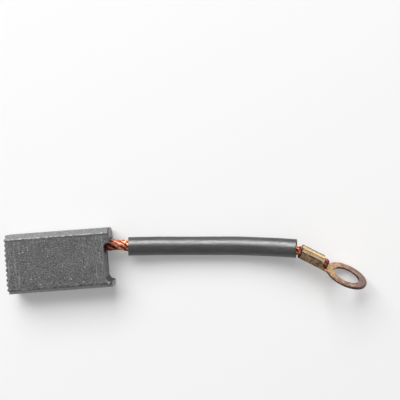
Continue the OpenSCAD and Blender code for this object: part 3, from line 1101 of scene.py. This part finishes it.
@dataclass
class CarbonBlock:
    """The carbon block, with edges that handling has crumbled."""

    node: bpy.types.Object
    cell: float = 0.11
    relaxing: int = 1
    edge_spread: int = 3
    edge: Fade = Fade(0.0, 0.16)
    chip: float = 0.09
    chipping: Crumbs = Crumbs(0.8, 3, 0.0, 0.15)
    roughness: float = 0.014
    roughness_cell: float = 0.4
    chamfer_width: float = 0.95
    # The crumbled crest on the edge between chamfer and broad face, with a painted highlight,
    # weaker on the side of the shade
    crest_width: float = 0.2
    crest_height: float = 0.045
    crest_strength: float = 1.4
    crest_crumbs: Crumbs = Crumbs(0.5, 2, 15.0, 0.35, 1.2)
    shade_crest: float = 0.25
    shade_wear: float = 0.35
    wear_crumbs: Crumbs = Crumbs(0.55, 2, 40.0, 0.2, 0.9)
    # The wear inside the recess, which starts at this corner: past its floor, before the crest
    recess_wear: float = 0.25
    recess_corner: Pair = (-0.5, -0.4)
    # The painted shade in a line along that edge: its place on either side, its width, reach and
    # crumbs
    crevice_places: Pair = (-0.28, 0.12)
    crevice_width: Fade = Fade(0.312, 0.072)
    crevice_reach: float = 0.6
    crevice_crumbs: Crumbs = Crumbs(0.7, 2, 70.0, 0.75, 0.9)
    # How nearly the surface has to face up, or along the block, to count as broad or as an end
    facing_up: Fade = Fade(0.8, 0.95)
    facing_out: Fade = Fade(0.5, 0.8)
    ear_start: float = 0.6
    recess_end: float = 0.45
    # Painted light on the chamfer that faces away from the lamp: its share, and the facing that
    # finds it
    chamfer_end: float = 0.5
    chamfer_facing: Pair = (-0.35, 0.3)
    # Places and sizes of the single chips on the broad face, each with a painted shade on its side
    # away from the lamp
    chips: tuple[Triple, ...] = (
        (-6.9, 3.75, 0.17), (-7.15, 2.45, 0.16), (-7.8, 2.3, 0.14), (10.3, -5.3, 0.32),
    )
    chip_facing: float = 0.5
    chip_shift: float = 5.0
    chip_cell: float = 0.25
    chip_fray: float = 0.35
    chip_wear: Fade = Fade(1.0, 1 / 3)
    chip_shade: Fade = Fade(0.6, 0.0)
    chip_shade_place: float = 1.5
    chip_shade_end: float = 0.1
    # The painted shade in the hollow round the rope: its radius, and its reach past the recess's
    # floor
    hollow: Fade = Fade(2.1, 1.6)
    hollow_reach: Pair = (-2.5, 0.2)
    # The painted shade on the recess's floor, darkest near the table, and on its wall beside the
    # ear
    floor_reach: float = 0.35
    floor_height: Fade = Fade(1.6, 0.8, 0.05, 0.9)
    wall_reach: float = -0.1
    wall_facing: float = 0.25
    wall_steepness: Fade = Fade(0.9, 0.6, 0.0, 0.85)
    # The ears' ends: middle and half width of each, their middle height and half height
    ear_faces: tuple[Pair, ...] = ((-5.62, 0.56), (4.85, 1.45))
    ear_height: Pair = (3.2, 2.75)
    # The painted shade along their rims, in half widths from the middle
    ear_reach: float = 1.6
    ear_rim: Fade = Fade(0.85, 1.15, 0.0, 0.75)
    ear_tips: Fade = Fade(10.72, 10.84)

    def build(self) -> bpy.types.Object:
        """Make the block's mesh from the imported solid, and crumble its edges."""
        skin = Skin.of(self.node, self.cell)
        skin.relax(self.relaxing)
        place, normals = skin.points, skin.normals
        crumbs = Grain(Seed.CRUMBS)
        low, high = place.min(0), place.max(0)
        middle, half = (low + high) / 2, (high - low) / 2
        edge = self.edge.at(skin.sharpness(self.edge_spread))
        beyond = np.abs(place[:, 1]) - (half[1] - self.chamfer_width)
        away = np.hypot(beyond, np.abs(place[:, 2] - middle[2]) - half[2])
        crest = held(self.crest_strength * (1 - away / self.crest_width))
        crest *= self.crest_crumbs.share(crumbs, place)
        crest *= np.where(place[:, 1] > 0, 1.0, self.shade_crest)
        depth = self.chip * edge * self.chipping.share(crumbs, place)
        depth += self.roughness * Grain(Seed.CARBON).at(place, self.roughness_cell, 2)
        points = place - normals * (depth - self.crest_height * crest)[:, None]
        points = np.clip(points, low, high + self.crest_height)
        wear_and_painted_highlight = self.wear_and_painted_highlight(place, edge, crest, beyond, crumbs)
        wear_and_painted_highlight, painted_crevice_shade = self.chipped_and_painted_light(
            place, normals, wear_and_painted_highlight, self.painted_crevice_shade(place, beyond, away, crumbs), crumbs
        )
        # These marks carry painted light on the chamfer away from the lamp, a painted highlight on
        # the crest, and painted shade along the crest, beside the chips and at the rear
        marks = {
            "broad": self.facing_up.at(np.abs(normals[:, 2])),
            "ends": self.ends(place, normals),
            "wear_and_painted_highlight": wear_and_painted_highlight,
            "painted_crevice_shade": painted_crevice_shade,
            "painted_rear_shade": self.painted_rear_shade(place, normals),
        }
        piece = make_piece(
            "carbon_body", "carbon_block", points, skin.faces, marks
        )
        piece.data.materials.append(CarbonFinish().material())
        return piece

    def ends(self, place: np.ndarray, normals: np.ndarray) -> np.ndarray:
        """Return how far each point is on a cut end, or on the chamfer in the shade, which gets
        painted light.
        """
        ends = self.facing_out.at(normals[:, 0])
        ends *= np.where(place[:, 0] > RECESS_FLOOR + self.ear_start, 1.0, self.recess_end)
        shade_side, upward = self.chamfer_facing
        chamfer = (normals[:, 1] < shade_side) * (normals[:, 2] > upward)
        return np.maximum(ends, self.chamfer_end * chamfer)

    def wear_and_painted_highlight(
        self,
        place: np.ndarray,
        edge: np.ndarray,
        crest: np.ndarray,
        beyond: np.ndarray,
        crumbs: Grain,
    ) -> np.ndarray:
        """Return how far the dark skin is rubbed off the edges, with the painted highlight on the
        crest.

        Args:
            place: The block's points.
            edge: How sharp the edge is at each of them.
            crest: How far each belongs to the crest beside the chamfer.
            beyond: How far past the crest each is, across the block.
            crumbs: The random field that crumbles edges.

        Returns:
            One share for each point, from 0 to 1.
        """
        wear_and_painted_highlight = edge * self.wear_crumbs.share(crumbs, place)
        past, inside = self.recess_corner
        recess = (place[:, 0] > RECESS_FLOOR + past) & (beyond < inside)
        wear_and_painted_highlight *= np.where(recess, self.recess_wear, 1.0)
        # The crest's painted highlight, weaker on the side away from the lamp
        outside = Fade(-self.crest_width / 4, self.crest_width / 4).at(beyond)
        in_shade = self.shade_wear * (1 - outside)
        return np.maximum(wear_and_painted_highlight, crest * np.where(place[:, 1] > 0, 1.0, in_shade))

    def painted_crevice_shade(
        self, place: np.ndarray, beyond: np.ndarray, away: np.ndarray, crumbs: Grain
    ) -> np.ndarray:
        """Return how dark the painted shade makes the line along the crest.

        Args:
            place: The block's points.
            beyond: How far past the crest each is, across the block.
            away: How far each is from the crest.
            crumbs: The random field that crumbles edges.

        Returns:
            One share for each point, from 0 to 1.
        """
        middle = np.where(place[:, 1] > 0, *self.crevice_places)
        painted_crevice_shade = self.crevice_width.at(np.abs(beyond - middle))
        return painted_crevice_shade * (away < self.crevice_reach) * self.crevice_crumbs.share(crumbs, place)

    def chipped_and_painted_light(
        self,
        place: np.ndarray,
        normals: np.ndarray,
        wear_and_painted_highlight: np.ndarray,
        painted_crevice_shade: np.ndarray,
        crumbs: Grain,
    ) -> tuple[np.ndarray, np.ndarray]:
        """Return the wear and the painted shade, with the single chips of the broad face added.

        Args:
            place: The block's points.
            normals: The surface's direction at each of them.
            wear_and_painted_highlight: How far the dark skin is rubbed off there, with the painted
                highlight on the crest.
            painted_crevice_shade: How dark the painted shade makes the surface there.
            crumbs: The random field that crumbles edges.

        Returns:
            The new wear and the new painted shade.
        """
        top = normals[:, 2] > self.chip_facing
        for x, y, size in self.chips:
            spot = np.hypot(place[:, 0] - x, place[:, 1] - y) / size
            spot += self.chip_fray * crumbs.at(place + self.chip_shift, self.chip_cell)
            wear_and_painted_highlight = np.maximum(wear_and_painted_highlight, top * self.chip_wear.at(spot))
            shade = self.chip_shade.at(np.abs(spot - self.chip_shade_place))
            shade = top * shade * (place[:, 1] < y + self.chip_shade_end)
            painted_crevice_shade = np.maximum(painted_crevice_shade, shade)
        return wear_and_painted_highlight, painted_crevice_shade

    def painted_rear_shade(self, place: np.ndarray, normals: np.ndarray) -> np.ndarray:
        """Return how dark the painted shade makes the block round the rope, in the recess and along
        the ears' rims.
        """
        past = place[:, 0] - RECESS_FLOOR
        rope = np.array(ROPE_ROUTE[2][1:])
        first, last = self.hollow_reach
        hollow = self.hollow.at(np.linalg.norm(place[:, 1:] - rope, axis=1))
        hollow *= (past > first) * (past < last)
        floor = self.facing_out.at(normals[:, 0]) * (past < self.floor_reach)
        painted_rear_shade = np.maximum(hollow, floor * self.floor_height.at(place[:, 2]))
        wall = (normals[:, 1] > self.wall_facing) * (past > self.wall_reach) * (place[:, 1] < 0)
        painted_rear_shade = np.maximum(painted_rear_shade, wall * self.wall_steepness.at(np.abs(normals[:, 2])))
        tips = self.ear_tips.at(place[:, 0])
        height, half_height = self.ear_height
        for middle, half in self.ear_faces:
            aside = (place[:, 1] - middle) / half
            out = np.hypot((place[:, 2] - height) / half_height, aside)
            own = np.abs(aside) < self.ear_reach
            painted_rear_shade = np.maximum(painted_rear_shade, own * tips * self.ear_rim.at(out))
        return painted_rear_shade


@dataclass
class RingTerminal:
    """The stamped ring terminal with its crimped barrel, its edges broken by the stamping."""

    node: bpy.types.Object
    cell: float = 0.058
    relaxing: int = 2
    front_start: float = 0.2
    bend: float = 7.0
    # Ways along the terminal between which its parts fade out and in
    barrel_end: Fade = Fade(5.6, 5.2)
    crease_end: Fade = Fade(5.5, 5.3)
    walls_end: Fade = Fade(6.6, 6.3)
    ring_start: Fade = Fade(6.2, 6.7)
    neck_end: Fade = Fade(9.4, 7.8)
    neck_share: float = 0.7
    ring_place: float = 11.09
    # Ways across it, from its middle or from its seam
    seam_shift: float = 0.4
    seam: Fade = Fade(0.3, 0.1)
    fold: Fade = Fade(0.62, 0.82)
    # How nearly the surface has to face to the front, to the side or along the ring's axis
    front_facing: Fade = Fade(0.45, 0.75)
    side_facing: Fade = Fade(0.4, 0.7)
    rim_facing: Fade = Fade(0.93, 0.68)
    # The painted shade in a line along the wall's fold and round the mouth
    crease_strength: float = 0.9
    crease_cell: float = 0.5
    crease_facing: float = 0.42
    crease_width: Fade = Fade(0.448, 0.128)
    crease_usual: float = 0.9
    mouth_side: Fade = Fade(0.4, -0.6, least=0.25)
    mouth: Fade = Fade(0.28, 0.13)
    mouth_fray: float = 0.15
    # The darker band along the outer edge of the ring's face, on the side that lies lower
    rim_band_cell: float = 0.45
    rim_band: Fade = Fade(4.14, 4.26)
    rim_band_fray: float = 0.18
    rim_band_usual: float = 0.85
    rim_band_below: float = -0.6
    frame: TerminalFrame = field(default_factory=TerminalFrame)

    def build(self) -> bpy.types.Object:
        """Make the terminal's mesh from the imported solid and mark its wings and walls."""
        skin = Skin.of(self.node, self.cell)
        skin.relax(self.relaxing)
        local = self.frame.local(skin.points)
        facing = skin.normals @ self.frame.axes().T
        along, side, lift = local.T
        barrel = self.barrel_end.at(along)
        front = barrel * self.front_facing.at(facing[:, 2]) * (lift > self.front_start)
        sides = self.walls_end.at(along) * self.side_facing.at(np.abs(facing[:, 1]))
        ring = self.ring_start.at(along)
        edges = self.rim_facing.at(self.flatness(skin))
        marks = {
            "local": local,
            # Painted light on the upper wing, which faces the lamp, and painted shade on the lower
            "upper": front * (side > -self.seam_shift),
            "lower": front * (side <= -self.seam_shift),
            "walls": np.maximum(barrel - front, sides),
            # Painted shade in the seam between the wings
            "seam": front * self.seam.at(np.abs(side + self.seam_shift)),
            "fold": barrel * self.fold.at(side),
            "rim": ring * np.maximum(edges, self.rim_band_share(local)),
            "ring": ring,
            # Painted shade in the wall's fold and round the mouth
            "crease": self.crease(local, facing),
            "neck": self.neck_share * ring * self.neck_end.at(along),
        }
        piece = make_piece(
            "terminal_body", "ring_terminal", skin.points, skin.faces, marks
        )
        piece.data.materials.append(BrassFinish().material())
        return piece

    def crease(self, local: np.ndarray, facing: np.ndarray) -> np.ndarray:
        """Return how dark the painted shade makes the barrel along the fold of its upturned wall
        and round its mouth.
        """
        along, side, lift = local.T
        frayed = Grain(Seed.CREASE).at(local, self.crease_cell, 2)
        fold = (side < 0) * (lift > 0)
        fold = fold * self.crease_width.at(np.abs(facing[:, 2] - self.crease_facing))
        fold = fold * held(self.crease_usual + frayed)
        mouth = self.mouth.at(along - self.mouth_fray * frayed)
        mouth = mouth * self.mouth_side.at(side)
        return self.crease_strength * self.crease_end.at(along) * np.maximum(fold, mouth)

    def rim_band_share(self, local: np.ndarray) -> np.ndarray:
        """Return how dark the ring's face is along its outer edge, on the side that lies lower."""
        frayed = Grain(Seed.RIM).at(local, self.rim_band_cell, 2)
        out = np.hypot(local[:, 0] - self.ring_place, local[:, 1])
        rim_band = self.rim_band.at(out + self.rim_band_fray * frayed)
        return (local[:, 1] < self.rim_band_below) * rim_band * held(self.rim_band_usual + frayed)

    def flatness(self, skin: Skin) -> np.ndarray:
        """Return how nearly each point faces along the ring's own axis, from 0 to 1."""
        bend = math.radians(self.bend)
        along, _, front = self.frame.axes()
        axis = front * math.cos(bend) - along * math.sin(bend)
        return np.abs(skin.normals @ axis)


# ---------------------------------------------------------------------------
# Studio
# ---------------------------------------------------------------------------

@dataclass(frozen=True)
class Lamp:
    """A rectangle of light that hangs aslant over the table and shines on the part."""

    name: str
    length: float
    width: float
    power: float
    distance: float
    tilt: float
    turn: float = 0.0
    matt: bool = True

    def hang(self, scene: bpy.types.Scene, middle: Vector) -> None:
        """Hang the lamp, which matt surfaces show or only glossy ones."""
        light = bpy.data.lights.new(self.name, "AREA")
        light.shape = "RECTANGLE"
        light.size = self.length
        light.size_y = self.width
        light.energy = self.power
        across = math.sin(self.tilt) * self.distance
        lamp = bpy.data.objects.new(self.name, light)
        lamp.visible_diffuse = self.matt
        lamp.location = (
            middle.x - across * math.sin(self.turn), middle.y + across * math.cos(self.turn),
            self.distance * math.cos(self.tilt),
        )
        lamp.rotation_euler = (middle - lamp.location).to_track_quat("-Z", "Y").to_euler()
        scene.collection.objects.link(lamp)


@dataclass
class Studio:
    """A pale table, soft light from one side and a camera straight above."""

    height: float = 0.140
    lens: float = 57.5
    roll: float = math.radians(-4.3)
    aside: Pair = (0.0038, 0.01274)
    nearest: float = 0.005
    table_half: float = 1.5
    table_sunk: float = 0.00002
    paper: Triple = (0.8, 0.8, 0.8)
    glow: float = 0.175
    sky: float = 0.34
    white: float = 0.85
    lamps: tuple[Lamp, ...] = (
        Lamp(
            "key", length=0.92, width=0.68, power=11.9,
            distance=1.0, tilt=math.radians(48), turn=math.radians(22),
        ),
        Lamp(
            "strip", length=1.0, width=0.45, power=17.0,
            distance=0.9, tilt=math.radians(54), matt=False,
        ),
    )

    def build(self, low: Vector, high: Vector) -> None:
        """Set up the camera, the table and the light.

        Args:
            low: Lowest corner of the part's box.
            high: Highest corner of the part's box.
        """
        scene = bpy.context.scene
        scene.view_settings.view_transform = "Standard"
        middle = (low + high) / 2
        self.add_camera(scene, middle)
        self.add_table(scene, middle)
        for lamp in self.lamps:
            lamp.hang(scene, middle)
        self.add_sky(scene)

    def add_camera(self, scene: bpy.types.Scene, middle: Vector) -> None:
        """Hang the camera over the table, beside the part's middle."""
        camera = bpy.data.objects.new("camera", bpy.data.cameras.new("camera"))
        camera.data.lens = self.lens
        camera.data.clip_start = self.nearest
        camera.location = (middle.x + self.aside[0], middle.y + self.aside[1], self.height)
        camera.rotation_euler = (0, 0, self.roll)
        scene.collection.objects.link(camera)
        scene.camera = camera

    def add_table(self, scene: bpy.types.Scene, middle: Vector) -> None:
        """Lay the pale table top just under the part."""
        corners = [
            (middle.x + x * self.table_half, middle.y + y * self.table_half, -self.table_sunk)
            for x, y in ((-1, -1), (1, -1), (1, 1), (-1, 1))
        ]
        mesh = bpy.data.meshes.new("table")
        mesh.from_pydata(corners, [], [(0, 1, 2, 3)])
        table = bpy.data.objects.new("table", mesh)
        coat = Coating("table")
        paper = coat.add("ShaderNodeBsdfDiffuse")
        coat.feed(paper.inputs["Color"], self.paper)
        glow, none = (coat.shine("ShaderNodeEmission", power) for power in (self.glow, 0.0))
        both = coat.add("ShaderNodeAddShader")
        coat.feed(both.inputs[0], paper.outputs[0])
        coat.feed(both.inputs[1], coat.seen(none, glow))
        coat.close(both.outputs[0])
        mesh.materials.append(coat.material)
        scene.collection.objects.link(table)
        table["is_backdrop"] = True

    def add_sky(self, scene: bpy.types.Scene) -> None:
        """Fill the room with even light, seen as white behind the table and in glossy surfaces."""
        world = bpy.data.worlds.new("room")
        scene.world = world
        world.use_nodes = True
        coat = Coating("room", world.node_tree)
        fill, white = (
            coat.shine("ShaderNodeBackground", power) for power in (self.sky, self.white)
        )
        coat.close(coat.seen(fill, white), "ShaderNodeOutputWorld")


def main() -> None:
    """Build the studio and the pieces in order."""
    logging.basicConfig(level=logging.INFO, format="%(name)s: %(message)s")
    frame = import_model()
    nodes = frame["nodes"]
    solid_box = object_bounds()
    Studio().build(*solid_box)
    shunt = Shunt()
    rope = shunt.build()
    rope.data.materials.append(CopperFinish().material())
    sleeve = Sleeve().build()
    terminal = RingTerminal(nodes["ring_terminal"]).build()
    CarbonBlock(nodes["carbon_block"]).build()


if __name__ == "__main__":
    main()
